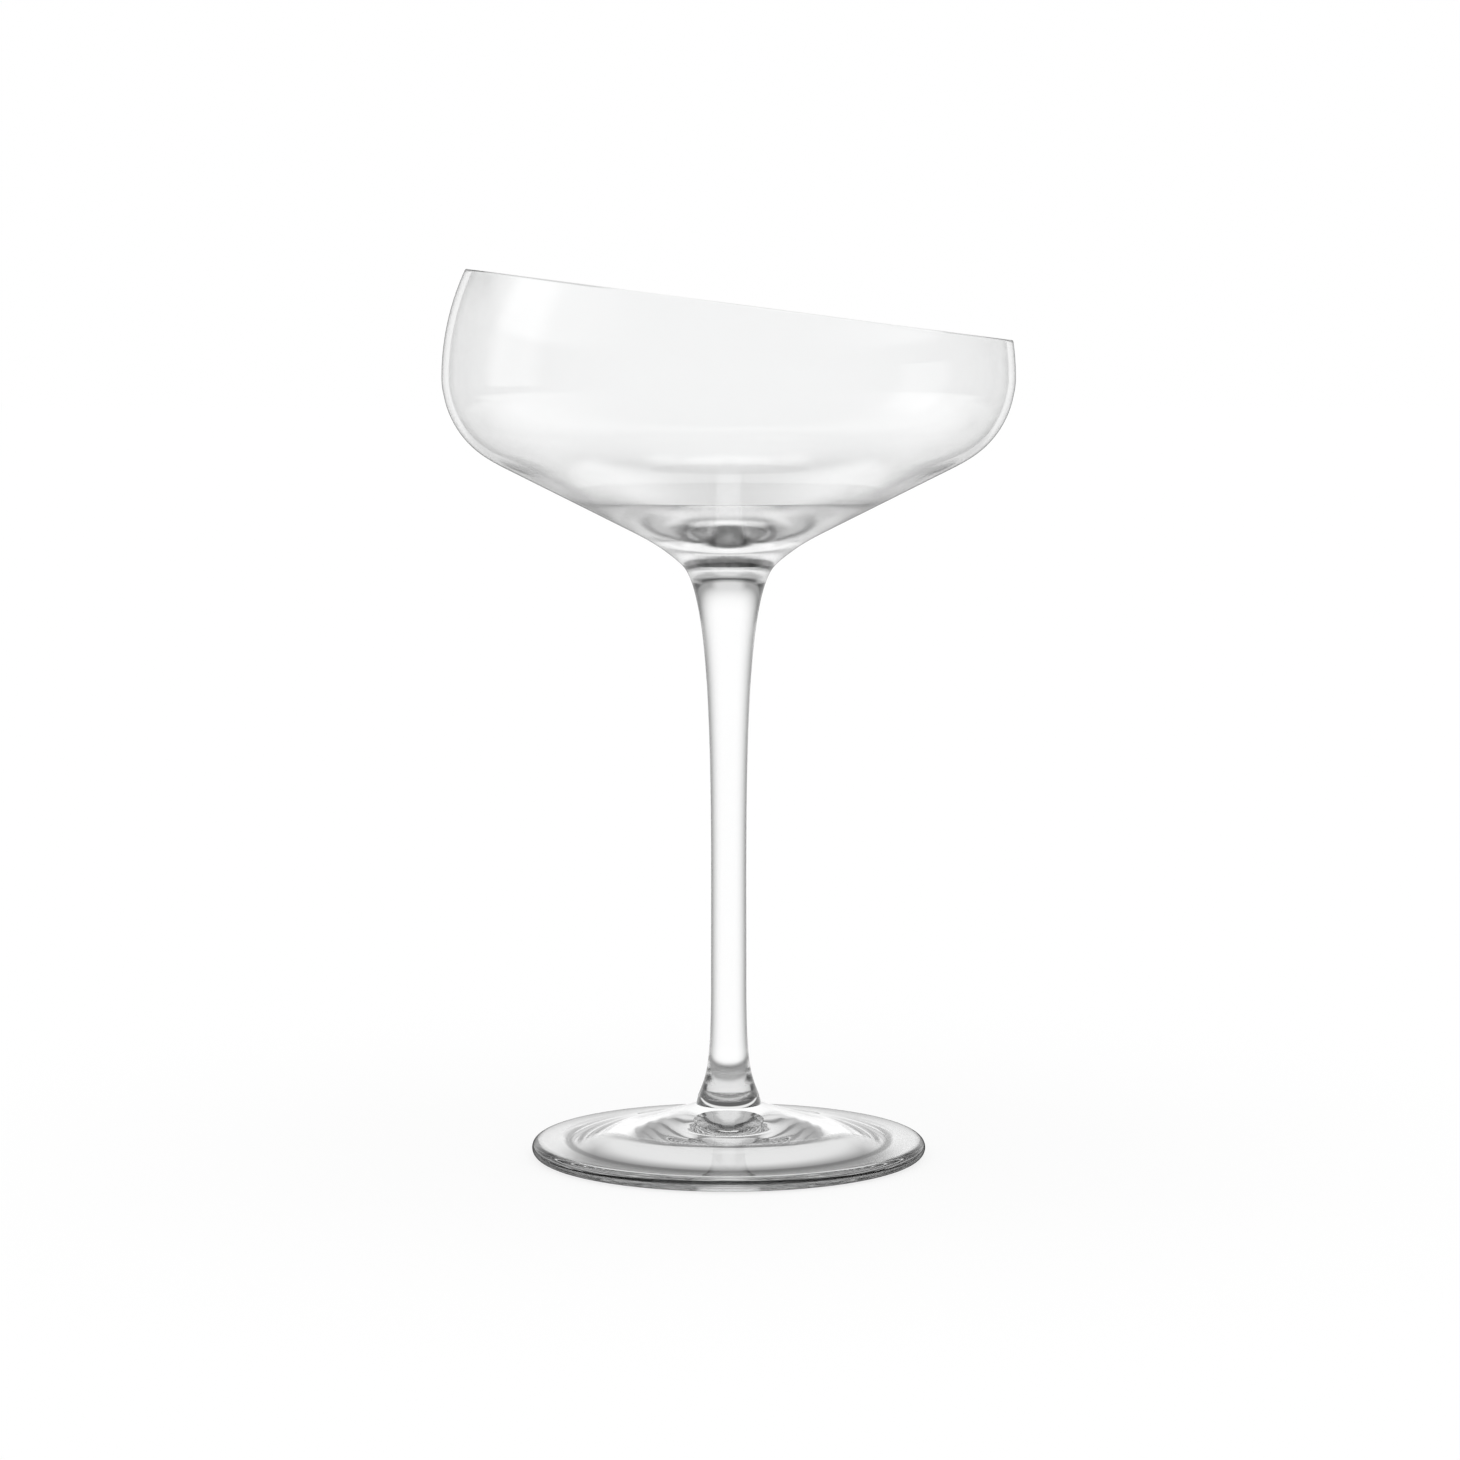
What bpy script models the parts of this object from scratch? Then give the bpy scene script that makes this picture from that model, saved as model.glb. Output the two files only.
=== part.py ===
"""Champagne coupe with a slanted lip, as the three gathers of clear glass that it is fused from.

The foot, the stem and the bowl are turned round the Z axis and stand on one another, seam to seam. The
origin is the centre of the ring that the foot rests on, and the lip is at its highest towards -X.
"""

import math

import bpy
from mathutils import Vector
from mathutils.geometry import interpolate_bezier

# Foot, in metres
FOOT_RADIUS = 0.0379
FOOT_EDGE = 0.0029
FOOT_HEIGHT = 0.0113
COLLAR_HEIGHT = 0.0015
COLLAR_SPREAD = 0.0004
REST_RING_INNER = 0.0305
HOLLOW_DEPTH = 0.005
HOLLOW_RUN = 0.0026
HOLLOW_RISE = 0.0011

# Stem, in metres and radians. Slopes are measured up from the horizontal
STEM_LENGTH = 0.1024
STEM_BASE_RADIUS = 0.0059
STEM_BASE_SLOPE = math.radians(68)
STEM_WAIST_RADIUS = 0.0034
STEM_WAIST_HEIGHT = 0.0227
STEM_TOP_RADIUS = 0.00895
STEM_TOP_SLOPE = math.radians(44)

# Bowl, in metres and radians
BELLY_RADIUS = 0.05435
UPPER_WALL_ARC = 0.0483
SHOULDER_ARC = 0.0177
CONE_SLOPE = math.radians(26.75)
FLARE_ARC = 0.031
INNER_SLOPE = math.radians(26)
WALL = 0.0013
FLOOR_THICKNESS = 0.0076
FLOOR_SLOPE = math.radians(12.3)
FLOOR_MIDDLE_ARC = 0.022
FLOOR_BEND_ARC = 0.003
LIP_RISE = 0.01415
LIP_SLANT = math.radians(7.4)

# Clearance at each seam between two pieces
SEAM_GAP = 0.0003

# How far each end of a curve keeps its own direction, as a share of the curve's height
TOP_PULL = 0.11
WAIST_PULL_UP = 0.405
WAIST_PULL_DOWN = 0.75
BASE_PULL = 0.20

# How much of the hollow under the foot has a flat crown, as a share of the resting ring's inner radius
HOLLOW_CROWN = 0.46

# How quickly the top of the foot falls away from the collar: 1 is a straight cone
FOOT_SWEEP = 1.6

# Facets round the axis, and along each curved stretch of an outline
SEGMENTS = 60
ARC_STEPS = 6
LIP_STEPS = 4
HOLLOW_STEPS = 8
STEM_STEPS = 10

MERGE_DISTANCE = 0.00001
SMOOTH_ANGLE = math.radians(35)
GLASS_COLOUR = (0.93, 0.94, 0.94, 1.0)
GLASS_ROUGHNESS = 0.03
GLASS_IOR = 1.52
GLASS_ALPHA = 0.35


def arc(centre, radius, start, end, steps=ARC_STEPS):
    """Points on an arc in the (radius, height) plane, from one angle to another."""
    angles = [start + (end - start) * step / steps for step in range(steps + 1)]
    return [centre + radius * Vector((math.cos(angle), math.sin(angle))) for angle in angles]


def curve(start, start_handle, end_handle, end, steps):
    """Points on a Bezier curve in the (radius, height) plane."""
    points = interpolate_bezier(start, start_handle, end_handle, end, steps + 1)
    return [Vector((point.x, point.y)) for point in points]


def joined(*stretches):
    """One outline from its stretches, without the points that repeat where two of them meet."""
    outline = []
    for stretch in stretches:
        for point in stretch:
            if not outline or (point - outline[-1]).length > MERGE_DISTANCE:
                outline.append(point)
    return outline


def glass(name):
    """Clear glass for one piece."""
    material = bpy.data.materials.new(name)
    material.use_nodes = True
    shader = material.node_tree.nodes["Principled BSDF"]
    shader.inputs["Base Color"].default_value = GLASS_COLOUR
    shader.inputs["Metallic"].default_value = 0.0
    shader.inputs["Roughness"].default_value = GLASS_ROUGHNESS
    shader.inputs["IOR"].default_value = GLASS_IOR
    shader.inputs["Transmission Weight"].default_value = 1.0
    material.diffuse_color = (*GLASS_COLOUR[:3], GLASS_ALPHA)
    return material


def turned(name, outline, collection):
    """A piece turned round Z from an outline that starts and ends on the axis and runs down outside."""
    mesh = bpy.data.meshes.new(name)
    edges = [(index, index + 1) for index in range(len(outline) - 1)]
    mesh.from_pydata([(point.x, 0.0, point.y) for point in outline], edges, [])
    mesh.materials.append(glass(name + "_glass"))
    piece = bpy.data.objects.new(name, mesh)
    collection.objects.link(piece)
    screw = piece.modifiers.new("Turn", "SCREW")
    screw.steps = SEGMENTS
    screw.render_steps = SEGMENTS
    screw.use_merge_vertices = True
    screw.merge_threshold = MERGE_DISTANCE
    return piece


def fixed(piece):
    """Makes the turned surface the piece's own mesh, shaded smooth except at its sharp edges."""
    graph = bpy.context.evaluated_depsgraph_get()
    outline_mesh = piece.data
    piece.data = bpy.data.meshes.new_from_object(piece.evaluated_get(graph))
    piece.data.name = piece.name
    piece.modifiers.clear()
    bpy.data.meshes.remove(outline_mesh)
    piece.data.shade_smooth()
    piece.data.set_sharp_from_angle(angle=SMOOTH_ANGLE)


def foot_outline():
    """Collar, falling top, round edge, flat resting ring and the hollow underneath."""
    seam = FOOT_HEIGHT - SEAM_GAP / 2
    collar_radius = STEM_BASE_RADIUS + COLLAR_SPREAD
    collar_foot = Vector((collar_radius, FOOT_HEIGHT - COLLAR_HEIGHT))
    edge_centre = Vector((FOOT_RADIUS - FOOT_EDGE / 2, FOOT_EDGE / 2))
    reach = edge_centre.x - collar_radius
    rise = collar_foot.y - FOOT_EDGE
    top = []
    for step in range(ARC_STEPS + 1):
        share = 1 - step / ARC_STEPS
        top.append(Vector((edge_centre.x - reach * share, FOOT_EDGE + rise * share**FOOT_SWEEP)))
    hollow = curve(
        Vector((REST_RING_INNER, 0.0)),
        Vector((REST_RING_INNER - HOLLOW_RUN, HOLLOW_RISE)),
        Vector((REST_RING_INNER * HOLLOW_CROWN, HOLLOW_DEPTH)),
        Vector((0.0, HOLLOW_DEPTH)),
        HOLLOW_STEPS,
    )
    return joined(
        [Vector((0.0, seam)), Vector((STEM_BASE_RADIUS, seam))],
        top,
        arc(edge_centre, FOOT_EDGE / 2, math.pi / 2, -math.pi / 2),
        hollow,
    )


def stem_outline():
    """Flared top, waist and flared base, between its two seams."""
    base = Vector((STEM_BASE_RADIUS, FOOT_HEIGHT + SEAM_GAP / 2))
    waist = Vector((STEM_WAIST_RADIUS, FOOT_HEIGHT + STEM_WAIST_HEIGHT))
    top = Vector((STEM_TOP_RADIUS, FOOT_HEIGHT + STEM_LENGTH - SEAM_GAP / 2))
    upper = top.y - waist.y
    lower = waist.y - base.y
    down_from_top = -Vector((math.cos(STEM_TOP_SLOPE), math.sin(STEM_TOP_SLOPE)))
    up_from_base = Vector((-math.cos(STEM_BASE_SLOPE), math.sin(STEM_BASE_SLOPE)))
    return joined(
        [Vector((0.0, top.y))],
        curve(
            top,
            top + upper * TOP_PULL * down_from_top,
            waist + Vector((0.0, upper * WAIST_PULL_UP)),
            waist,
            STEM_STEPS,
        ),
        curve(
            waist,
            waist - Vector((0.0, lower * WAIST_PULL_DOWN)),
            base + lower * BASE_PULL * up_from_base,
            base,
            ARC_STEPS,
        ),
        [Vector((0.0, base.y))],
    )


def bowl_levels():
    """The places that the bowl's outline turns on, worked upwards from its seam with the stem."""
    seam = Vector((STEM_TOP_RADIUS, FOOT_HEIGHT + STEM_LENGTH + SEAM_GAP / 2))
    flare_centre = seam + FLARE_ARC * Vector((math.sin(STEM_TOP_SLOPE), -math.cos(STEM_TOP_SLOPE)))
    cone_foot = flare_centre + FLARE_ARC * Vector((-math.sin(CONE_SLOPE), math.cos(CONE_SLOPE)))
    cone_top_radius = BELLY_RADIUS - SHOULDER_ARC * (1 - math.sin(CONE_SLOPE))
    cone_top = cone_foot.y + (cone_top_radius - cone_foot.x) * math.tan(CONE_SLOPE)
    belly = cone_top + SHOULDER_ARC * math.cos(CONE_SLOPE)
    return {
        "seam": seam,
        "flare_centre": flare_centre,
        "shoulder_centre": Vector((BELLY_RADIUS - SHOULDER_ARC, belly)),
        "wall_centre": Vector((BELLY_RADIUS - UPPER_WALL_ARC, belly)),
    }


def lip_angle(azimuth, wall_centre):
    """Where the wall's arc meets the slanted plane of the lip, as an angle about the arc's centre."""
    middle = UPPER_WALL_ARC - WALL / 2
    fall = math.tan(LIP_SLANT) * math.cos(azimuth)
    reach = (LIP_RISE - WALL / 2 - fall * wall_centre.x) / (middle * math.hypot(1.0, fall))
    return math.asin(reach) - math.atan(fall)


def floor_outline(floor, wall_foot):
    """The bowl's dished floor: round in the middle, a shallow slope, and a bend into the cone's inside."""
    middle_centre = Vector((0.0, floor + FLOOR_MIDDLE_ARC))
    middle = arc(middle_centre, FLOOR_MIDDLE_ARC, -math.pi / 2, FLOOR_SLOPE - math.pi / 2, LIP_STEPS)
    floor_tip = middle[-1].y - middle[-1].x * math.tan(FLOOR_SLOPE)
    cone_tip = wall_foot.y - wall_foot.x * math.tan(INNER_SLOPE)
    meeting_radius = (floor_tip - cone_tip) / (math.tan(INNER_SLOPE) - math.tan(FLOOR_SLOPE))
    bend_run = FLOOR_BEND_ARC * math.tan((INNER_SLOPE - FLOOR_SLOPE) / 2) * math.cos(FLOOR_SLOPE)
    bend_radius = meeting_radius - bend_run
    bend_foot = Vector((bend_radius, floor_tip + bend_radius * math.tan(FLOOR_SLOPE)))
    bend_centre = bend_foot + FLOOR_BEND_ARC * Vector((-math.sin(FLOOR_SLOPE), math.cos(FLOOR_SLOPE)))
    bend = arc(bend_centre, FLOOR_BEND_ARC, FLOOR_SLOPE - math.pi / 2, INNER_SLOPE - math.pi / 2, LIP_STEPS)
    return middle + bend


def bowl_outline(levels):
    """Inside of the bowl from its floor up, round lip, and outside down to the seam. The lip is level."""
    seam = levels["seam"]
    wall_centre = levels["wall_centre"]
    shoulder_centre = levels["shoulder_centre"]
    outer_end = CONE_SLOPE - math.pi / 2
    inner_end = INNER_SLOPE - math.pi / 2
    lip = lip_angle(math.pi / 2, wall_centre)
    lip_centre = wall_centre + (UPPER_WALL_ARC - WALL / 2) * Vector((math.cos(lip), math.sin(lip)))
    floor = seam.y + FLOOR_THICKNESS
    inner_shoulder = arc(shoulder_centre, SHOULDER_ARC - WALL, inner_end, 0.0)
    flare_start = math.pi / 2 + CONE_SLOPE
    flare_end = math.pi / 2 + STEM_TOP_SLOPE
    return joined(
        floor_outline(floor, inner_shoulder[0]),
        inner_shoulder,
        arc(wall_centre, UPPER_WALL_ARC - WALL, 0.0, lip),
        arc(lip_centre, WALL / 2, lip + math.pi, lip, LIP_STEPS),
        arc(wall_centre, UPPER_WALL_ARC, lip, 0.0),
        arc(shoulder_centre, SHOULDER_ARC, 0.0, outer_end),
        arc(levels["flare_centre"], FLARE_ARC, flare_start, flare_end, LIP_STEPS),
        [Vector((0.0, seam.y))],
    )


def slant_lip(mesh, wall_centre):
    """Slides the wall above the belly along its own arc until the lip lies in its slanted plane."""
    level = lip_angle(math.pi / 2, wall_centre)
    for vertex in mesh.vertices:
        out = math.hypot(vertex.co.x, vertex.co.y) - wall_centre.x
        up = vertex.co.z - wall_centre.y
        if up <= 0.0:
            continue
        azimuth = math.atan2(vertex.co.y, vertex.co.x)
        angle = math.atan2(up, out)
        slanted = lip_angle(azimuth, wall_centre)
        if angle < level:
            angle *= slanted / level
        else:
            angle += slanted - level
        wall = wall_centre + math.hypot(out, up) * Vector((math.cos(angle), math.sin(angle)))
        vertex.co = (wall.x * math.cos(azimuth), wall.x * math.sin(azimuth), wall.y)


def main():
    for old in list(bpy.data.objects):
        bpy.data.objects.remove(old)
    collection = bpy.data.collections.new("champagne_coupe")
    bpy.context.scene.collection.children.link(collection)
    levels = bowl_levels()
    fixed(turned("foot", foot_outline(), collection))
    fixed(turned("stem", stem_outline(), collection))
    bowl = turned("bowl", bowl_outline(levels), collection)
    fixed(bowl)
    slant_lip(bowl.data, levels["wall_centre"])


main()
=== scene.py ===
import math
from math import radians

import bpy
from bpy.props import FloatProperty, FloatVectorProperty, PointerProperty
from bpy.types import Operator, Panel, PropertyGroup
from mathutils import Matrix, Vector
from mathutils.geometry import interpolate_bezier


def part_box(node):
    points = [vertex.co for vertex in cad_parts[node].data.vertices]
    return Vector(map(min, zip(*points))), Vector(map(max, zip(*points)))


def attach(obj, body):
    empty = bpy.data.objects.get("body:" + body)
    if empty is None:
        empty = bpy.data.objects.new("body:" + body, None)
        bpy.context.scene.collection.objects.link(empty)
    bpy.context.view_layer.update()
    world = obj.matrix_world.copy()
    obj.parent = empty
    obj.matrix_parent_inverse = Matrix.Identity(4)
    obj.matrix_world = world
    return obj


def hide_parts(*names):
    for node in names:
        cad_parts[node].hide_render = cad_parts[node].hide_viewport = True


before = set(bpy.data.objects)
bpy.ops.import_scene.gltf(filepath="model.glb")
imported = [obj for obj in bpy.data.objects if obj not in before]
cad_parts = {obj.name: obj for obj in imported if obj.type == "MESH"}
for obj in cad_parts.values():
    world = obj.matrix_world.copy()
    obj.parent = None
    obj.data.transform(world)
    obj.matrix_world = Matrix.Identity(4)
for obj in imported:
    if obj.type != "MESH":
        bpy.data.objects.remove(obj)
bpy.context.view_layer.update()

bl_info = {
    "name": "Slant-lip champagne coupe",
    "version": (1, 0, 0),
    "blender": (4, 5, 0),
    "location": "View3D > Sidebar > Coupe",
    "description": "Turns the foot, stem and bowl of a coupe in clear glass and sets up a white studio",
    "category": "Object",
}

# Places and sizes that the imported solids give
FOOT_LOW, FOOT_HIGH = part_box("foot")
STEM_LOW, STEM_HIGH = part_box("stem")
BOWL_LOW, BOWL_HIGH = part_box("bowl")
FOOT_SEAM = (FOOT_HIGH.z + STEM_LOW.z) / 2
BOWL_SEAM = (STEM_HIGH.z + BOWL_LOW.z) / 2
GLASS_HEIGHT = BOWL_HIGH.z

# Fineness of the meshes
SEGMENTS = 192
ARC_STEPS = 24
LONG_STEPS = 48
LIP_STEPS = 16
EASE_STEP = 0.0004
MERGE_DISTANCE = 0.000001
SMOOTH_ANGLE = radians(40)
SEAM_FLATNESS = 0.999

# Soft borders in the glass, each with the place of its middle and its half width, as Wire.within takes them
SHADE_FACING = (0.7, 0.3)
SHADE_COAT_FACING = (0.85, 0.1)
HAZE_LEVEL = (0.62, 0.08)
RING_LINE = (0.0007, 0.0004)
RING_LINE_TOP = (0.0012, 0.0004)
RIM_SHADE_SOFT = 0.0004
RIM_SHADE_COAT_SOFT = 0.0008
MARKS_SOFT = 0.004
SOFTNESS_STEP = 0.002
MARKS_WANDER = 5.0
MARKS_WANDER_SCALE = 90.0

# Soft borders of the panels: angles from straight behind the glass, and above the horizon
BACK_FADE = radians(40)
LOW_CLIMB = (radians(20), radians(12))
UPPER_SPAN = (radians(22), radians(12))
UPPER_CLIMB = (radians(68), radians(14))
CEILING_SPAN = (radians(85), radians(30))
STRIP_TURN = radians(85)
STRIP_SPAN = (radians(14), radians(6))
STRIP_CLIMB = (radians(40), radians(10))

# Soft borders on the table: distances from the axis, and angles from straight behind the glass
BEHIND_SPAN = (radians(55), radians(20))
REAR_SPOT = (0.018, 0.003)
REAR_HALO = (0.05, 0.01)
REAR_SPOT_SHARE = 0.8
FRONT_SPOT = (0.027, 0.005)
BESIDE_SPOT = (0.05, 0.006)
BESIDE_SPAN = (radians(115), radians(15))
LANE_SOFT = 0.02
LANE_SPREAD_SOFT = radians(4)
LANE_SPAN = (radians(80), radians(10))
LANE_START = (0.09, 0.03)
SIDES_START = (0.1, 0.05)
SIDES_SPAN = (radians(110), radians(40))
SHEEN_START = (0.05, 0.005)
SHEEN_SOFT = 0.03
SHEEN_HEIGHT_SOFT = 0.01

# The stage's own sizes
FLOOR_SIZE = 12.0
FLOOR_DROP = 0.0002
TABLE_DROP = 0.0001
SURROUND_CUT = 0.12
CAMERA_CLIP = 0.01
LAMP_HEIGHT = 1.0
BOUNCES = 40

BLACK = (0.0, 0.0, 0.0, 1.0)
WHITE = (1.0, 1.0, 1.0, 1.0)


def length(name, description, default):
    """A size in metres."""
    return FloatProperty(
        name=name, description=description, default=default, min=0.0, precision=5,
        unit="LENGTH", subtype="DISTANCE",
    )


def slope(name, description, degrees):
    """An angle, given in degrees."""
    return FloatProperty(
        name=name, description=description, default=radians(degrees), unit="ROTATION", subtype="ANGLE",
    )


def share(name, description, default, top=1.0):
    """A plain number from 0 up."""
    return FloatProperty(
        name=name, description=description, default=default, min=0.0, max=top, precision=4,
    )


class FootSizes(PropertyGroup):
    """Sizes of the disc foot."""

    radius: length("Radius", "Outer radius of the disc", FOOT_HIGH.x)
    edge: length("Edge", "Thickness of the round outer edge", 0.0029)
    collar_height: length("Collar height", "Height of the small collar under the stem", 0.0015)
    collar_spread: length("Collar spread", "How much wider the collar is at its bottom", 0.0004)
    ring_inner: length("Ring", "Inner radius of the flat ring that the foot rests on", 0.0305)
    hollow_depth: length("Hollow depth", "Height of the hollow under the foot", 0.005)
    hollow_run: length("Hollow run", "How far the hollow's wall leans in from the ring", 0.0026)
    hollow_rise: length("Hollow rise", "How far the hollow's wall climbs from the ring", 0.0011)
    hollow_crown: share("Hollow crown", "Share of the ring over which the hollow's roof is flat", 0.46)
    sweep: share("Sweep", "How quickly the top falls from the collar, 1 for a cone", 1.6, 4.0)


class StemSizes(PropertyGroup):
    """Sizes of the drawn stem."""

    base_radius: length("Base radius", "Radius where the stem meets the foot", 0.0059)
    base_slope: slope("Base slope", "Slope of the flared base at its seam", 68)
    waist_radius: length("Waist radius", "Radius at the thinnest place", 0.0034)
    waist_height: length("Waist height", "Height of the thinnest place above the foot", 0.0227)
    top_radius: length("Top radius", "Radius where the stem meets the bowl", STEM_HIGH.x)
    top_slope: slope("Top slope", "Slope of the flared top at its seam", 44)
    base_pull: share("Base pull", "Share of the lower height over which the base keeps its slope", 0.20)
    waist_pull_down: share("Waist pull down", "Share of the lower height over which it stays upright", 0.75)
    waist_pull_up: share("Waist pull up", "Share of the upper height over which it stays upright", 0.405)
    top_pull: share("Top pull", "Share of the upper height over which the top keeps its slope", 0.11)


class BowlSizes(PropertyGroup):
    """Sizes of the blown bowl."""

    belly_radius: length("Belly radius", "Outer radius at the widest place", BOWL_HIGH.y)
    wall: length("Wall", "Thickness of the wall", 0.0013)
    wall_arc: length("Wall arc", "Radius of the upper wall's gentle curve", 0.0483)
    shoulder_arc: length("Shoulder arc", "Radius of the shoulder under the belly", 0.0177)
    outer_slope: slope("Outer slope", "Slope of the cone outside", 26.75)
    inner_slope: slope("Inner slope", "Slope of the cone inside", 26)
    flare_arc: length("Flare arc", "Radius of the flare between the cone and the stem", 0.031)
    floor: length("Floor", "Solid glass between the seam and the bowl's floor", 0.0076)
    floor_slope: slope("Floor slope", "Slope of the dished floor", 12.3)
    floor_middle_arc: length("Floor middle arc", "Radius of the floor's round middle", 0.022)
    floor_bend_arc: length("Floor bend arc", "Radius of the bend between the floor and the cone", 0.003)
    ease: length("Ease", "Reach over which one curve eases into the next", 0.003)
    lip_rise: length("Lip rise", "Height of the lip above the belly, on the axis", 0.01415)
    lip_slant: slope("Lip slant", "Slant of the plane that the lip is cut by", 7.4)


class GlassLook(PropertyGroup):
    """Finish of the clear glass, with the painted shade on its outlines and its foot's rim."""

    tint: FloatVectorProperty(
        name="Tint", description="Colour of light through the glass", subtype="COLOR", size=3,
        default=(0.985, 0.987, 0.987), min=0.0, max=1.0,
    )
    tint_depth: share("Tint depth", "How much darker the cloudiest glass is", 0.012)
    index: share("Index", "Refractive index", 1.5, 3.0)
    wave_size: length("Wave size", "Width of the slow waves that hot working leaves", 0.016)
    wave_depth: length("Wave depth", "Height of those waves", 0.0000015)
    ring_pitch: length("Ring pitch", "Distance between the foot's turning marks", 0.0026)
    ring_depth: length("Ring depth", "Height of the foot's turning marks", 0.000004)
    ring_reach: length("Ring reach", "How far from the axis the turning marks run", 0.019)
    # Painted shade in the next five: the bowl's colour darkened where it is seen edge-on, dark coats on the
    # outlines of bowl, stem and foot, and the foot rim's colour darkened.
    bowl_edge_shade: share("Bowl edge", "How much light the bowl takes where it is seen edge-on", 0.28)
    bowl_shade_coat: share("Bowl film", "Light that the film on the bowl's outline lets through, square on", 0.95)
    stem_shade_coat: share("Stem film", "Light that the film on the stem's outline lets through, square on", 0.93)
    foot_shade_coat: share("Foot film", "Light that the film on the foot's rim lets through, square on", 0.4)
    foot_rim_shade: share("Foot rim", "How much light the foot's round rim takes", 0.3)
    stem_softness: share("Stem softness", "Roughness that drawing leaves on the stem", 0.14)
    bowl_softness: share("Bowl softness", "Roughness of the bowl's thick bottom", 0.1)
    haze: share("Haze", "Roughness where hands and cloths have touched the glass", 0.012)


class StageLook(PropertyGroup):
    """Camera, floor and studio light."""

    lens: FloatProperty(name="Lens", description="Focal length", default=106.0, unit="CAMERA")
    camera_distance: length("Camera distance", "From the axis to the camera", 0.818)
    camera_height: length("Camera height", "Above the floor", 0.1632)
    camera_aside: length("Camera aside", "Sideways from the axis", 0.00025)
    camera_tilt: slope("Camera tilt", "Downwards from level", 5.666)
    floor_colour: FloatVectorProperty(
        name="Floor colour", description="Pale floor", subtype="COLOR", size=3, default=(0.95, 0.95, 0.95),
        min=0.0, max=1.0,
    )
    floor_glow: share("Floor glow", "Share of the floor's white that doesn't depend on the lamp", 0.8)
    lamp_power: share("Lamp power", "Strength of the overhead lamp", 1.4, 20.0)
    lamp_width: slope("Lamp width", "Angle that the soft overhead lamp fills", 80)
    room: share("Room", "Level of the soft light all round", 0.62, 4.0)
    reach: length("Reach", "Distance of the studio's panels from the glass", 1.6)
    back: share("Back panel", "Level of the broad panel behind the glass", 1.1, 4.0)
    back_width: slope("Back width", "Angle from straight behind at which it falls to half", 52)
    upper: share("Upper panel", "Level of the panel above the back panel", 0.77, 4.0)
    ceiling: share("Ceiling", "Level of the dim ceiling", 0.48, 4.0)
    strip: share("Strip panel", "Level of the upright strip on the camera's left", 0.6, 4.0)
    dark: share("Dark cloth", "Level of the dark cloth round the camera", 0.01)
    # The table's levels below are painted light on a glowing disc shown only to the glass; its sheen is a
    # painted reflection of the back panel.
    table_front: share("Table front", "Level of the table under the foot, in front of the stem", 0.8, 4.0)
    table_side: share("Table beside", "Level of the table beside the foot", 0.5, 4.0)
    table_back: share("Table back", "Level of the table under the foot, behind the stem", 0.8, 4.0)
    lane: length("Lane", "Half the width of the bright lane on the table behind the glass", 0.09)
    lane_spread: slope("Lane spread", "Angle to which the lane spreads on each side further back", 10)
    table_wide: share("Table sides", "Level of the table beside that lane", 0.8, 4.0)
    sheen_angle: slope("Sheen angle", "Angle above the table below which its sheen shows", 13)
    sheen_height: length("Sheen height", "Height on the stem below which the table's sheen shows", 0.06)


class Coupe(PropertyGroup):
    """All that a user would change."""

    foot: PointerProperty(type=FootSizes)
    stem: PointerProperty(type=StemSizes)
    bowl: PointerProperty(type=BowlSizes)
    glass: PointerProperty(type=GlassLook)
    stage: PointerProperty(type=StageLook)


class Wire:
    """A shader socket that takes part in Python maths by adding Math nodes."""

    def __init__(self, tree, socket=None):
        self.tree = tree
        self.socket = socket

    def add(self, kind, settings=None, inputs=None, output=0):
        """Adds a node of any type: its settings first, then the values or links of its sockets."""
        node = self.tree.nodes.new(kind)
        for name, value in (settings or {}).items():
            setattr(node, name, value)
        for name, value in (inputs or {}).items():
            if isinstance(value, Wire):
                self.tree.links.new(value.socket, node.inputs[name])
            else:
                node.inputs[name].default_value = value
        return Wire(self.tree, node.outputs[output])

    def maths(self, operation, first, second=0.0):
        return self.add("ShaderNodeMath", {"operation": operation}, {0: first, 1: second})

    def __add__(self, other):
        return self.maths("ADD", self, other)

    def __radd__(self, other):
        return self.maths("ADD", other, self)

    def __sub__(self, other):
        return self.maths("SUBTRACT", self, other)

    def __rsub__(self, other):
        return self.maths("SUBTRACT", other, self)

    def __mul__(self, other):
        return self.maths("MULTIPLY", self, other)

    def __rmul__(self, other):
        return self.maths("MULTIPLY", other, self)

    def __truediv__(self, other):
        return self.maths("DIVIDE", self, other)

    def __rtruediv__(self, other):
        return self.maths("DIVIDE", other, self)

    def __abs__(self):
        return self.maths("ABSOLUTE", self)

    def larger(self, other):
        return self.maths("MAXIMUM", self, other)

    def within(self, edge, softness):
        """1 below the edge and 0 above it, with a soft step of that half width between."""
        ends = {"From Min": edge - softness, "From Max": edge + softness, "To Min": 1.0, "To Max": 0.0}
        return self.add(
            "ShaderNodeMapRange", {"interpolation_type": "SMOOTHSTEP"}, {"Value": self, **ends}
        )

    def split(self):
        """The X, Y and Z of a vector."""
        parts = self.add("ShaderNodeSeparateXYZ", {}, {"Vector": self}).socket.node.outputs
        return [Wire(self.tree, part) for part in parts]

    def facing(self):
        """0 where a surface is seen square on, 1 where it is seen edge-on."""
        return self.add("ShaderNodeLayerWeight", {}, {"Blend": 0.5}, output="Facing")

    def noise(self, place, scale, detail, roughness=0.5):
        return self.add(
            "ShaderNodeTexNoise",
            {},
            {"Vector": place, "Scale": scale, "Detail": detail, "Roughness": roughness},
        )

    def blend(self, amount, first, second):
        """Mixes two colours."""
        return self.add("ShaderNodeMix", {"data_type": "RGBA"}, {0: amount, 6: first, 7: second}, output=2)

    def feed(self, node, name):
        """Links this socket to an input of a node."""
        self.tree.links.new(self.socket, node.inputs[name])


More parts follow.
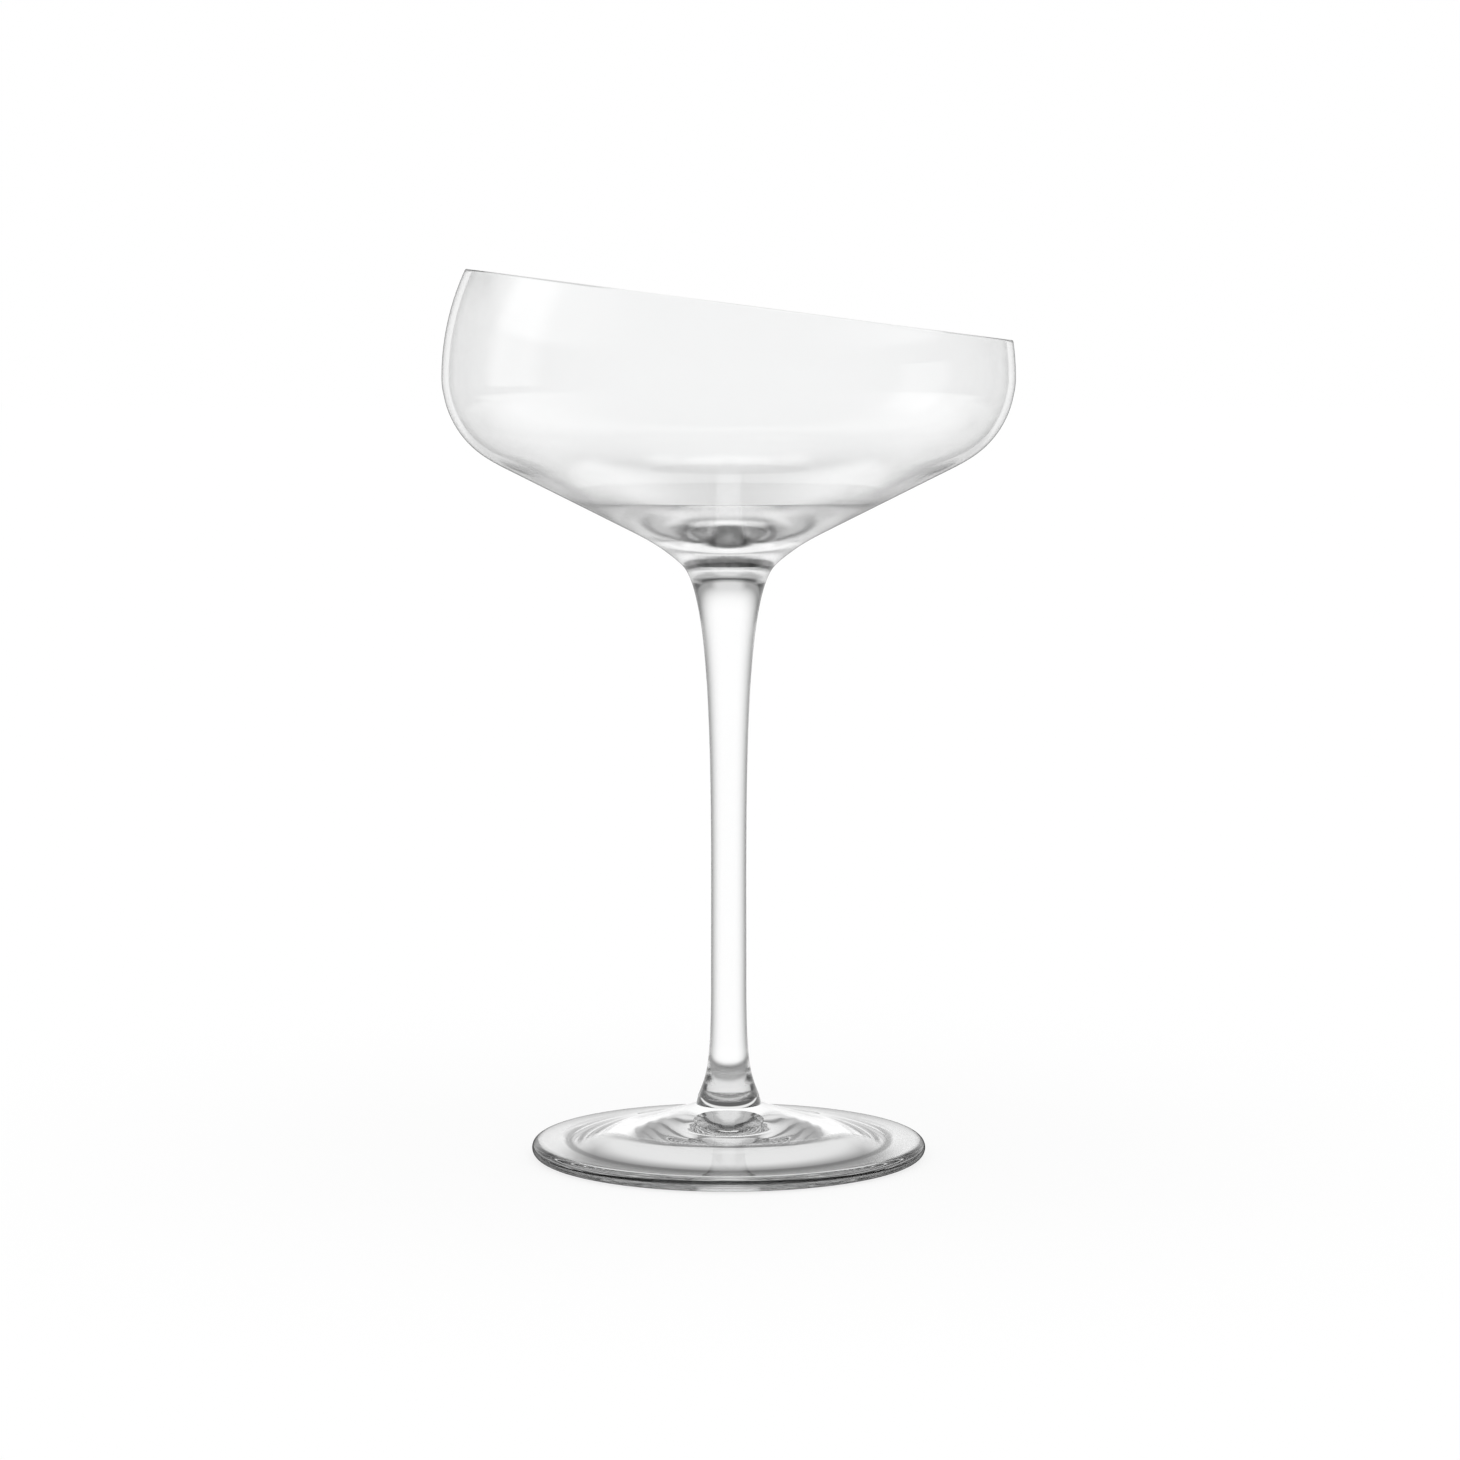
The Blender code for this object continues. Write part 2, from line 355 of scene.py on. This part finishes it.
def arc(centre, radius, start, end, steps=ARC_STEPS):
    """Points on an arc in the (radius, height) plane, from one angle to another."""
    angles = [start + (end - start) * step / steps for step in range(steps + 1)]
    return [centre + radius * Vector((math.cos(angle), math.sin(angle))) for angle in angles]


def curve(start, start_handle, end_handle, end, steps=LONG_STEPS):
    """Points on a Bezier curve in the (radius, height) plane."""
    points = interpolate_bezier(start, start_handle, end_handle, end, steps + 1)
    return [Vector((point.x, point.y)) for point in points]


def joined(*stretches):
    """One outline from its stretches, without the points that repeat where two of them meet."""
    outline = []
    for stretch in stretches:
        for point in stretch:
            if not outline or (point - outline[-1]).length > MERGE_DISTANCE:
                outline.append(point)
    return outline


def eased(stretch, reach):
    """The stretch at even steps, with every change of curvature spread over a reach on both sides of it."""
    even = []
    for start, end in zip(stretch, stretch[1:]):
        steps = max(1, round((end - start).length / EASE_STEP))
        even += [start.lerp(end, step / steps) for step in range(steps)]
    even.append(stretch[-1])
    soft = []
    for place in range(len(even)):
        span = min(place, len(even) - 1 - place, round(reach / EASE_STEP))
        near = even[place - span:place + span + 1]
        soft.append(sum(near, Vector((0.0, 0.0))) / len(near))
    return soft


def deselect():
    """Leaves nothing selected."""
    bpy.ops.object.select_all(action="DESELECT")


def turned(name, outline):
    """Draws an outline by extruding one point along it, and spins it round the axis into a closed piece."""
    deselect()
    bpy.ops.mesh.primitive_plane_add(size=MERGE_DISTANCE)
    piece = bpy.context.object
    piece.name = piece.data.name = name
    bpy.ops.object.mode_set(mode="EDIT")
    bpy.ops.mesh.select_all(action="SELECT")
    bpy.ops.mesh.merge(type="CENTER")
    bpy.ops.transform.translate(value=(outline[0].x, 0.0, outline[0].y))
    for start, end in zip(outline, outline[1:]):
        step = end - start
        bpy.ops.mesh.extrude_region_move(TRANSFORM_OT_translate={"value": (step.x, 0.0, step.y)})
    bpy.ops.mesh.select_all(action="SELECT")
    bpy.ops.mesh.spin(steps=SEGMENTS, angle=2 * math.pi, center=(0.0, 0.0, 0.0), axis=(0.0, 0.0, 1.0))
    bpy.ops.mesh.select_all(action="SELECT")
    bpy.ops.mesh.remove_doubles(threshold=MERGE_DISTANCE)
    bpy.ops.mesh.normals_make_consistent(inside=False)
    bpy.ops.object.mode_set(mode="OBJECT")
    return piece


def finish_piece(piece, node, glass, seams):
    """Smooths a piece, gives its seam faces the weld and the rest the glass, and puts it on the frame."""
    piece.data.materials.append(glass)
    piece.data.materials.append(weld())
    for face in piece.data.polygons:
        on_seam = any(abs(face.center.z - seam) < MERGE_DISTANCE for seam in seams)
        if on_seam and abs(face.normal.z) > SEAM_FLATNESS:
            face.material_index = 1
    deselect()
    piece.select_set(True)
    bpy.context.view_layer.objects.active = piece
    bpy.ops.object.shade_smooth_by_angle(angle=SMOOTH_ANGLE)
    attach(piece, "root")
    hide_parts(node)


def weld():
    """The fused seam inside the glass, where one piece runs into the next with no surface between."""
    material = bpy.data.materials.get("fused_seam")
    if material is None:
        material = bpy.data.materials.new("fused_seam")
        material.use_nodes = True
        material.node_tree.nodes["Principled BSDF"].inputs["Alpha"].default_value = 0.0
    return material


def from_axis(place):
    """Distance from the axis."""
    x, y, _ = place.split()
    return place.maths("SQRT", x * x + y * y)


def clear_glass(name, look, shade=None, marks=None, painted_shade_coat=None, shade_coat_tint=1.0, softness=None):
    """Clear glass with slow waves, faint clouds and a trace of haze.

    shade, marks, the coat and softness each take the place on the piece and give a level there. shade is
    painted shade, how far the glass's colour is darkened towards black; marks the height of its relief; the
    coat the weight of a dark clear coat, painted shade that dims mirrored and passing light alike; and
    softness the roughness added to the haze.
    """
    material = bpy.data.materials.new(name)
    material.use_nodes = True
    tree = material.node_tree
    shader = tree.nodes["Principled BSDF"]
    shader.inputs["IOR"].default_value = look.index
    shader.inputs["Transmission Weight"].default_value = 1.0
    start = Wire(tree)
    place = start.add("ShaderNodeTexCoord", output="Object")
    waves = start.noise(place, 1 / look.wave_size, 1.0, 0.4)
    clouds = start.noise(place, 0.5 / look.wave_size, 3.0, 0.6)
    smears = start.noise(place, 1.5 / look.wave_size, 5.0, 0.7)
    tint = Vector(look.tint)
    colour = start.blend(clouds, (*tint, 1.0), (*(tint * (1 - look.tint_depth)), 1.0))
    haze = (1 - smears.within(*HAZE_LEVEL)) * look.haze
    relief = waves * look.wave_depth
    # Painted shade: the colour darkened towards black by the shade level.
    if shade is not None:
        colour = start.blend(shade(place), colour, BLACK)
    if marks is not None:
        relief = relief + marks(place)
    # Painted shade: a dark clear coat that dims the glass where the coat argument weights it.
    if painted_shade_coat is not None:
        shader.inputs["Coat IOR"].default_value = 1.0
        shader.inputs["Coat Roughness"].default_value = 0.0
        shader.inputs["Coat Tint"].default_value = (shade_coat_tint, shade_coat_tint, shade_coat_tint, 1.0)
        painted_shade_coat(place).feed(shader, "Coat Weight")
    if softness is not None:
        haze = haze + softness(place)
    colour.feed(shader, "Base Color")
    haze.feed(shader, "Roughness")
    normal = start.add("ShaderNodeBump", {}, {"Strength": 1.0, "Distance": 1.0, "Height": relief})
    normal.feed(shader, "Normal")
    return material


def turning_marks(look):
    """The foot's faint rings, left when it was spun flat on its tool, a little uneven round the axis."""

    def marks(place):
        radius = from_axis(place)
        wander = place.noise(place, MARKS_WANDER_SCALE, 2.0) * MARKS_WANDER
        rings = place.maths("SINE", radius * (2 * math.pi / look.ring_pitch) + wander)
        return rings * radius.within(look.ring_reach, MARKS_SOFT) * (look.ring_depth / 2)

    return marks


def soft_below(height, amount):
    """Roughness below a height."""

    def softness(place):
        return place.split()[2].within(height, SOFTNESS_STEP) * amount

    return softness


def edge_shade(amount):
    """Painted shade: the glass's colour greyed towards black where the wall is seen edge-on."""

    def shade(place):
        return (1 - place.facing().within(*SHADE_FACING)) * amount

    return shade


def edge_shade_coat(place):
    """Painted shade: a dark coat in full where the wall turns away from the eye, and none elsewhere."""
    return 1 - place.facing().within(*SHADE_COAT_FACING)


def rim_shade_coat(rim, ring):
    """Painted shade: the same dark coat on the rim, and a painted dark line of it where the hollow
    underneath meets the resting ring.
    """

    def painted_shade_coat(place):
        radius = from_axis(place)
        painted_ring_line = abs(radius - ring).within(*RING_LINE) * place.split()[2].within(*RING_LINE_TOP)
        return (edge_shade_coat(place) * (1 - radius.within(rim, RIM_SHADE_COAT_SOFT))).larger(painted_ring_line)

    return painted_shade_coat


def rim_shade(radius, amount):
    """Painted shade: the glass's colour greyed towards black on the outermost rim."""

    def shade(place):
        return (1 - from_axis(place).within(radius, RIM_SHADE_SOFT)) * amount

    return shade


def foot_outline(size, stem):
    """Collar, falling top, round edge, flat resting ring and the hollow underneath."""
    collar_radius = stem.base_radius + size.collar_spread
    collar_foot = FOOT_SEAM - size.collar_height
    edge_centre = Vector((size.radius - size.edge / 2, size.edge / 2))
    reach = edge_centre.x - collar_radius
    rise = collar_foot - size.edge
    top = []
    for step in range(LONG_STEPS + 1):
        left = 1 - step / LONG_STEPS
        top.append(Vector((edge_centre.x - reach * left, size.edge + rise * left**size.sweep)))
    hollow = curve(
        Vector((size.ring_inner, 0.0)),
        Vector((size.ring_inner - size.hollow_run, size.hollow_rise)),
        Vector((size.ring_inner * size.hollow_crown, size.hollow_depth)),
        Vector((0.0, size.hollow_depth)),
    )
    return joined(
        [Vector((0.0, FOOT_SEAM)), Vector((stem.base_radius, FOOT_SEAM))],
        top,
        arc(edge_centre, size.edge / 2, math.pi / 2, -math.pi / 2),
        hollow,
    )


def stem_outline(size):
    """Flared top, waist and flared base, between its two seams."""
    base = Vector((size.base_radius, FOOT_SEAM))
    waist = Vector((size.waist_radius, FOOT_SEAM + size.waist_height))
    top = Vector((size.top_radius, BOWL_SEAM))
    upper = top.y - waist.y
    lower = waist.y - base.y
    down_from_top = -Vector((math.cos(size.top_slope), math.sin(size.top_slope)))
    up_from_base = Vector((-math.cos(size.base_slope), math.sin(size.base_slope)))
    return joined(
        [Vector((0.0, top.y))],
        curve(
            top,
            top + upper * size.top_pull * down_from_top,
            waist + Vector((0.0, upper * size.waist_pull_up)),
            waist,
        ),
        curve(
            waist,
            waist - Vector((0.0, lower * size.waist_pull_down)),
            base + lower * size.base_pull * up_from_base,
            base,
        ),
        [Vector((0.0, base.y))],
    )


def bowl_levels(size, stem):
    """The places that the bowl's outline turns on, worked upwards from its seam with the stem."""
    seam = Vector((stem.top_radius, BOWL_SEAM))
    to_centre = Vector((math.sin(stem.top_slope), -math.cos(stem.top_slope)))
    flare_centre = seam + size.flare_arc * to_centre
    to_cone = Vector((-math.sin(size.outer_slope), math.cos(size.outer_slope)))
    cone_foot = flare_centre + size.flare_arc * to_cone
    cone_top_radius = size.belly_radius - size.shoulder_arc * (1 - math.sin(size.outer_slope))
    cone_top = cone_foot.y + (cone_top_radius - cone_foot.x) * math.tan(size.outer_slope)
    belly = cone_top + size.shoulder_arc * math.cos(size.outer_slope)
    return {
        "seam": seam,
        "flare_centre": flare_centre,
        "shoulder_centre": Vector((size.belly_radius - size.shoulder_arc, belly)),
        "wall_centre": Vector((size.belly_radius - size.wall_arc, belly)),
    }


def lip_angle(size, azimuth, wall_centre):
    """Where the wall's arc meets the slanted plane of the lip, as an angle about the arc's centre."""
    middle = size.wall_arc - size.wall / 2
    fall = math.tan(size.lip_slant) * math.cos(azimuth)
    reach = (size.lip_rise - size.wall / 2 - fall * wall_centre.x) / (middle * math.hypot(1.0, fall))
    return math.asin(reach) - math.atan(fall)


def lip_outline(centre, half, angle):
    """The cut and fire-polished lip from the inside to the outside: a flat top with round corners."""
    out = Vector((math.cos(angle), math.sin(angle)))
    up = Vector((-math.sin(angle), math.cos(angle)))
    lip = []
    for step in range(LIP_STEPS + 1):
        turn = math.pi * (1 - step / LIP_STEPS)
        across = math.copysign(math.sqrt(abs(math.cos(turn))), math.cos(turn))
        lip.append(centre + half * (across * out + math.sqrt(max(0.0, math.sin(turn))) * up))
    return lip


def floor_outline(size, floor, wall_foot):
    """The bowl's dished floor: round in the middle, a shallow slope, and a bend into the cone's inside."""
    floor_end = size.floor_slope - math.pi / 2
    inner_end = size.inner_slope - math.pi / 2
    middle_centre = Vector((0.0, floor + size.floor_middle_arc))
    middle = arc(middle_centre, size.floor_middle_arc, -math.pi / 2, floor_end)
    floor_tip = middle[-1].y - middle[-1].x * math.tan(size.floor_slope)
    cone_tip = wall_foot.y - wall_foot.x * math.tan(size.inner_slope)
    steeper = math.tan(size.inner_slope) - math.tan(size.floor_slope)
    meeting_radius = (floor_tip - cone_tip) / steeper
    bend_reach = size.floor_bend_arc * math.tan((size.inner_slope - size.floor_slope) / 2)
    bend_radius = meeting_radius - bend_reach * math.cos(size.floor_slope)
    bend_foot = Vector((bend_radius, floor_tip + bend_radius * math.tan(size.floor_slope)))
    bend_centre = bend_foot - size.floor_bend_arc * Vector((math.cos(floor_end), math.sin(floor_end)))
    return middle + arc(bend_centre, size.floor_bend_arc, floor_end, inner_end)


def bowl_outline(size, stem, levels):
    """Inside of the bowl from its floor up, the lip, and the outside down to the seam. The lip is level."""
    seam = levels["seam"]
    wall_centre = levels["wall_centre"]
    shoulder_centre = levels["shoulder_centre"]
    outer_end = size.outer_slope - math.pi / 2
    inner_end = size.inner_slope - math.pi / 2
    lip = lip_angle(size, math.pi / 2, wall_centre)
    lip_centre = wall_centre + (size.wall_arc - size.wall / 2) * Vector((math.cos(lip), math.sin(lip)))
    floor = seam.y + size.floor
    inner_shoulder = arc(shoulder_centre, size.shoulder_arc - size.wall, inner_end, 0.0)
    flare_start = math.pi / 2 + size.outer_slope
    flare_end = math.pi / 2 + stem.top_slope
    inside = joined(floor_outline(size, floor, inner_shoulder[0]), inner_shoulder)
    outside = joined(
        arc(shoulder_centre, size.shoulder_arc, 0.0, outer_end),
        arc(levels["flare_centre"], size.flare_arc, flare_start, flare_end),
    )
    return joined(
        eased(inside, size.ease),
        arc(wall_centre, size.wall_arc - size.wall, 0.0, lip),
        lip_outline(lip_centre, size.wall / 2, lip),
        arc(wall_centre, size.wall_arc, lip, 0.0),
        eased(outside, size.ease),
        [Vector((0.0, seam.y))],
    )


def slant_lip(mesh, size, wall_centre):
    """Slides the wall above the belly along its own arc until the lip lies in its slanted plane."""
    level = lip_angle(size, math.pi / 2, wall_centre)
    for vertex in mesh.vertices:
        out = math.hypot(vertex.co.x, vertex.co.y) - wall_centre.x
        up = vertex.co.z - wall_centre.y
        if up <= 0.0:
            continue
        azimuth = math.atan2(vertex.co.y, vertex.co.x)
        angle = math.atan2(up, out)
        slanted = lip_angle(size, azimuth, wall_centre)
        if angle < level:
            angle *= slanted / level
        else:
            angle += slanted - level
        wall = wall_centre + math.hypot(out, up) * Vector((math.cos(angle), math.sin(angle)))
        vertex.co = (wall.x * math.cos(azimuth), wall.x * math.sin(azimuth), wall.y)


class COUPE_OT_foot(Operator):
    """Turn the disc foot with its collar and hollow"""

    bl_idname = "coupe.foot"
    bl_label = "Foot"

    def execute(self, context):
        coupe = context.scene.coupe
        piece = turned("foot_glass", foot_outline(coupe.foot, coupe.stem))
        look = coupe.glass
        # Painted shade: the foot rim's colour darkened, and a dark coat on the rim and on a line round the
        # resting ring.
        shade = rim_shade(coupe.foot.radius - coupe.foot.edge / 4, look.foot_rim_shade)
        painted_shade_coat = rim_shade_coat(coupe.foot.radius - coupe.foot.edge / 2, coupe.foot.ring_inner)
        glass = clear_glass(
            "foot_worked_glass", look, shade=shade, marks=turning_marks(look),
            painted_shade_coat=painted_shade_coat, shade_coat_tint=look.foot_shade_coat,
        )
        finish_piece(piece, "foot", glass, [FOOT_SEAM])
        return {"FINISHED"}


class COUPE_OT_stem(Operator):
    """Turn the drawn stem, flared at both ends"""

    bl_idname = "coupe.stem"
    bl_label = "Stem"

    def execute(self, context):
        coupe = context.scene.coupe
        look = coupe.glass
        piece = turned("stem_glass", stem_outline(coupe.stem))
        softness = soft_below(BOWL_SEAM + SOFTNESS_STEP, look.stem_softness)
        # Painted shade: a dark coat on the stem's outline.
        glass = clear_glass(
            "stem_drawn_glass", look, painted_shade_coat=edge_shade_coat, shade_coat_tint=look.stem_shade_coat, softness=softness
        )
        finish_piece(piece, "stem", glass, [FOOT_SEAM, BOWL_SEAM])
        return {"FINISHED"}


class COUPE_OT_bowl(Operator):
    """Turn the bowl and slide its lip into the slanted plane"""

    bl_idname = "coupe.bowl"
    bl_label = "Bowl"

    def execute(self, context):
        coupe = context.scene.coupe
        levels = bowl_levels(coupe.bowl, coupe.stem)
        piece = turned("bowl_glass", bowl_outline(coupe.bowl, coupe.stem, levels))
        slant_lip(piece.data, coupe.bowl, levels["wall_centre"])
        look = coupe.glass
        softness = soft_below(BOWL_SEAM + 2 * coupe.bowl.floor, look.bowl_softness)
        # Painted shade: the bowl's colour darkened where it is seen edge-on, and a dark coat on its
        # outline.
        glass = clear_glass(
            "bowl_blown_glass", look, shade=edge_shade(look.bowl_edge_shade),
            painted_shade_coat=edge_shade_coat, shade_coat_tint=look.bowl_shade_coat, softness=softness,
        )
        finish_piece(piece, "bowl", glass, [BOWL_SEAM])
        return {"FINISHED"}


def seen_by_eye_or_glass(start):
    """1 for rays of the camera and rays that a surface mirrored or let through, 0 for other light."""
    light = start.add("ShaderNodeLightPath").socket.node.outputs
    camera = Wire(start.tree, light["Is Camera Ray"])
    mirrored = Wire(start.tree, light["Is Glossy Ray"])
    through = Wire(start.tree, light["Is Transmission Ray"])
    return camera.larger(mirrored).larger(through)


def add_camera(look):
    """The photograph's camera."""
    bpy.ops.object.camera_add(
        location=(look.camera_aside, -look.camera_distance, look.camera_height),
        rotation=(math.pi / 2 - look.camera_tilt, 0.0, 0.0),
    )
    camera = bpy.context.object
    camera.data.lens = look.lens
    camera.data.clip_start = CAMERA_CLIP
    bpy.context.scene.camera = camera
    return camera


def light_room(look):
    """A white room: full white to the eye and to the glass, and a softer level as light."""
    world = bpy.data.worlds.new("white_room")
    world.use_nodes = True
    bpy.context.scene.world = world
    tree = world.node_tree
    level = seen_by_eye_or_glass(Wire(tree)) * (1 - look.room) + look.room
    level.feed(tree.nodes["Background"], "Strength")
    tree.nodes["Background"].inputs["Color"].default_value = WHITE


def bare_material(name):
    """A material with nothing but its output, and that output."""
    material = bpy.data.materials.new(name)
    material.use_nodes = True
    tree = material.node_tree
    tree.nodes.remove(tree.nodes["Principled BSDF"])
    return material, tree.nodes["Material Output"]


def lay_floor(look):
    """A pale floor that is white to the eye and keeps the glass's shadow."""
    bpy.ops.mesh.primitive_plane_add(size=FLOOR_SIZE, location=(0.0, 0.0, -FLOOR_DROP))
    floor = bpy.context.object
    floor.name = "studio_floor"
    material, surface = bare_material("pale_floor")
    start = Wire(material.node_tree)
    matt = start.add("ShaderNodeBsdfDiffuse", {}, {"Color": (*look.floor_colour, 1.0)})
    white = start.add("ShaderNodeEmission", {}, {"Color": WHITE})
    share_of_white = seen_by_eye_or_glass(start) * look.floor_glow
    mixed = start.add("ShaderNodeMixShader", {}, {0: share_of_white, 1: matt, 2: white})
    mixed.feed(surface, "Surface")
    floor.data.materials.append(material)
    floor.visible_glossy = False
    floor.visible_transmission = False


def hang_lamp(look):
    """One broad soft lamp overhead, which lights the floor evenly and isn't mirrored by the glass."""
    bpy.ops.object.light_add(type="SUN", location=(0.0, 0.0, LAMP_HEIGHT))
    lamp = bpy.context.object
    lamp.name = "overhead_lamp"
    lamp.data.angle = look.lamp_width
    lamp.data.energy = look.lamp_power
    lamp.visible_glossy = False
    lamp.visible_transmission = False


def glow(name, level_of):
    """A glowing material whose level is worked out from the panel's own coordinates."""
    material, surface = bare_material(name)
    start = Wire(material.node_tree)
    level = level_of(*start.add("ShaderNodeTexCoord", output="Object").split())
    grey = start.add("ShaderNodeCombineColor", {}, {"Red": level, "Green": level, "Blue": level})
    start.add("ShaderNodeEmission", {}, {"Color": grey}).feed(surface, "Surface")
    return material


def only_for_glass(panel, rig):
    """Shows a panel to the glass alone, and turns it with the rig."""
    panel.visible_camera = False
    panel.visible_diffuse = False
    panel.visible_shadow = False
    panel.parent = rig


def surround_level(look):
    """Broad panel behind, a narrow one above it, a dim ceiling, a strip at one side, and dark cloth."""

    def level_of(x, y, z):
        turn = y.maths("ARCTAN2", x, y)
        from_back = abs(turn)
        climb = z.maths("ARCSINE", z / look.reach)
        low = climb.within(*LOW_CLIMB)
        back = from_back.within(look.back_width, BACK_FADE) * low
        upper = from_back.within(*UPPER_SPAN) * climb.within(*UPPER_CLIMB)
        ceiling = (1 - low) * from_back.within(*CEILING_SPAN)
        strip = abs(turn + STRIP_TURN).within(*STRIP_SPAN) * climb.within(*STRIP_CLIMB)
        panels = (back * look.back).larger(upper * look.upper).larger(ceiling * look.ceiling)
        return panels + strip * look.strip + look.dark

    return level_of


def table_level(look):
    """The table as the glass sees it, all painted light: a glowing disc whose levels stand in for the
    table's light and shade.

    Seen steeply it is bright under the foot, less so beside it, dark in a ring round that, and bright
    again further behind, along a lane and at its sides. Seen at a glancing angle or from low down it
    has a painted sheen, a painted reflection that copies the back panel's level.
    """

    def level_of(x, y, z):
        radius = x.maths("SQRT", x * x + y * y)
        from_back = abs(y.maths("ARCTAN2", x, y))
        behind = from_back.within(*BEHIND_SPAN)
        spot = radius.within(*REAR_SPOT) * REAR_SPOT_SHARE
        halo = radius.within(*REAR_HALO) * (1 - REAR_SPOT_SHARE)
        rear = (spot + halo) * behind
        front = radius.within(*FRONT_SPOT) * (1 - behind)
        beside = radius.within(*BESIDE_SPOT) * from_back.within(*BESIDE_SPAN) * (1 - behind)
        near = (front * look.table_front).larger(beside * look.table_side)
        under = rear * look.table_back + near
        strip = abs(x).within(look.lane, LANE_SOFT)
        wedge = from_back.within(look.lane_spread, LANE_SPREAD_SOFT)
        lane = strip.larger(wedge) * from_back.within(*LANE_SPAN) * (1 - radius.within(*LANE_START))
        sides = (1 - radius.within(*SIDES_START)) * from_back.within(*SIDES_SPAN)
        steep = under + (lane * look.back).larger(sides * look.table_wide) + look.dark
        fall = 1 - x.facing()
        looked_from = radius * fall / x.maths("SQRT", 1 - fall * fall)
        low_angle = fall.within(math.sin(look.sheen_angle), SHEEN_SOFT)
        low_place = looked_from.within(look.sheen_height, SHEEN_HEIGHT_SOFT)
        glancing = low_angle.larger(low_place) * (1 - radius.within(*SHEEN_START))
        # Painted reflection: the back panel's level copied onto the table where it is seen at a glance or
        # from low on the stem.
        sheen = from_back.within(look.back_width, BACK_FADE) * look.back
        return steep * (1 - glancing) + sheen * glancing

    return level_of


def hang_panels(look, camera):
    """The surround and the table that the glass shows, on a rig that turns with the camera."""
    bpy.ops.object.empty_add(location=(0.0, 0.0, 0.0))
    rig = bpy.context.object
    rig.name = "panel_rig"
    facing = rig.constraints.new("LOCKED_TRACK")
    facing.target = camera
    facing.track_axis = "TRACK_NEGATIVE_Y"
    facing.lock_axis = "LOCK_Z"
    deselect()
    bpy.ops.mesh.primitive_uv_sphere_add(segments=64, ring_count=48, radius=look.reach)
    surround = bpy.context.object
    surround.name = "studio_surround"
    bpy.ops.object.mode_set(mode="EDIT")
    bpy.ops.mesh.select_all(action="SELECT")
    bpy.ops.mesh.bisect(
        plane_co=(0.0, 0.0, -SURROUND_CUT), plane_no=(0.0, 0.0, 1.0), clear_inner=True
    )
    bpy.ops.object.mode_set(mode="OBJECT")
    surround.location.z = GLASS_HEIGHT / 2
    surround.data.materials.append(glow("studio_panels", surround_level(look)))
    only_for_glass(surround, rig)
    deselect()
    bpy.ops.mesh.primitive_circle_add(
        vertices=128, radius=look.reach, fill_type="NGON", location=(0.0, 0.0, -TABLE_DROP)
    )
    table = bpy.context.object
    table.name = "studio_table"
    table.data.materials.append(glow("glowing_table_painted_light", table_level(look)))
    only_for_glass(table, rig)


class COUPE_OT_stage(Operator):
    """Set up the camera, the floor, the lamp and the panels that the glass shows"""

    bl_idname = "coupe.stage"
    bl_label = "Stage"

    def execute(self, context):
        look = context.scene.coupe.stage
        deselect()
        camera = add_camera(look)
        light_room(look)
        lay_floor(look)
        hang_lamp(look)
        hang_panels(look, camera)
        scene = context.scene
        scene.view_settings.view_transform = "Standard"
        scene.cycles.max_bounces = BOUNCES
        scene.cycles.glossy_bounces = BOUNCES
        scene.cycles.transmission_bounces = BOUNCES
        return {"FINISHED"}


class COUPE_PT_sidebar(Panel):
    """Sizes, looks and makers of the coupe's pieces"""

    bl_label = "Coupe"
    bl_space_type = "VIEW_3D"
    bl_region_type = "UI"
    bl_category = "Coupe"

    def draw(self, context):
        coupe = context.scene.coupe
        for group in ("foot", "stem", "bowl", "glass", "stage"):
            column = self.layout.column()
            settings = getattr(coupe, group)
            for name in settings.__annotations__:
                column.prop(settings, name)
            if group != "glass":
                column.operator("coupe." + group)


CLASSES = (
    FootSizes,
    StemSizes,
    BowlSizes,
    GlassLook,
    StageLook,
    Coupe,
    COUPE_OT_foot,
    COUPE_OT_stem,
    COUPE_OT_bowl,
    COUPE_OT_stage,
    COUPE_PT_sidebar,
)


def register():
    for entry in CLASSES:
        bpy.utils.register_class(entry)
    bpy.types.Scene.coupe = PointerProperty(type=Coupe)


def unregister():
    del bpy.types.Scene.coupe
    for entry in reversed(CLASSES):
        bpy.utils.unregister_class(entry)


def main():
    register()
    bpy.ops.coupe.foot()
    bpy.ops.coupe.stem()
    bpy.ops.coupe.bowl()
    bpy.ops.coupe.stage()


if __name__ == "__main__":
    main()
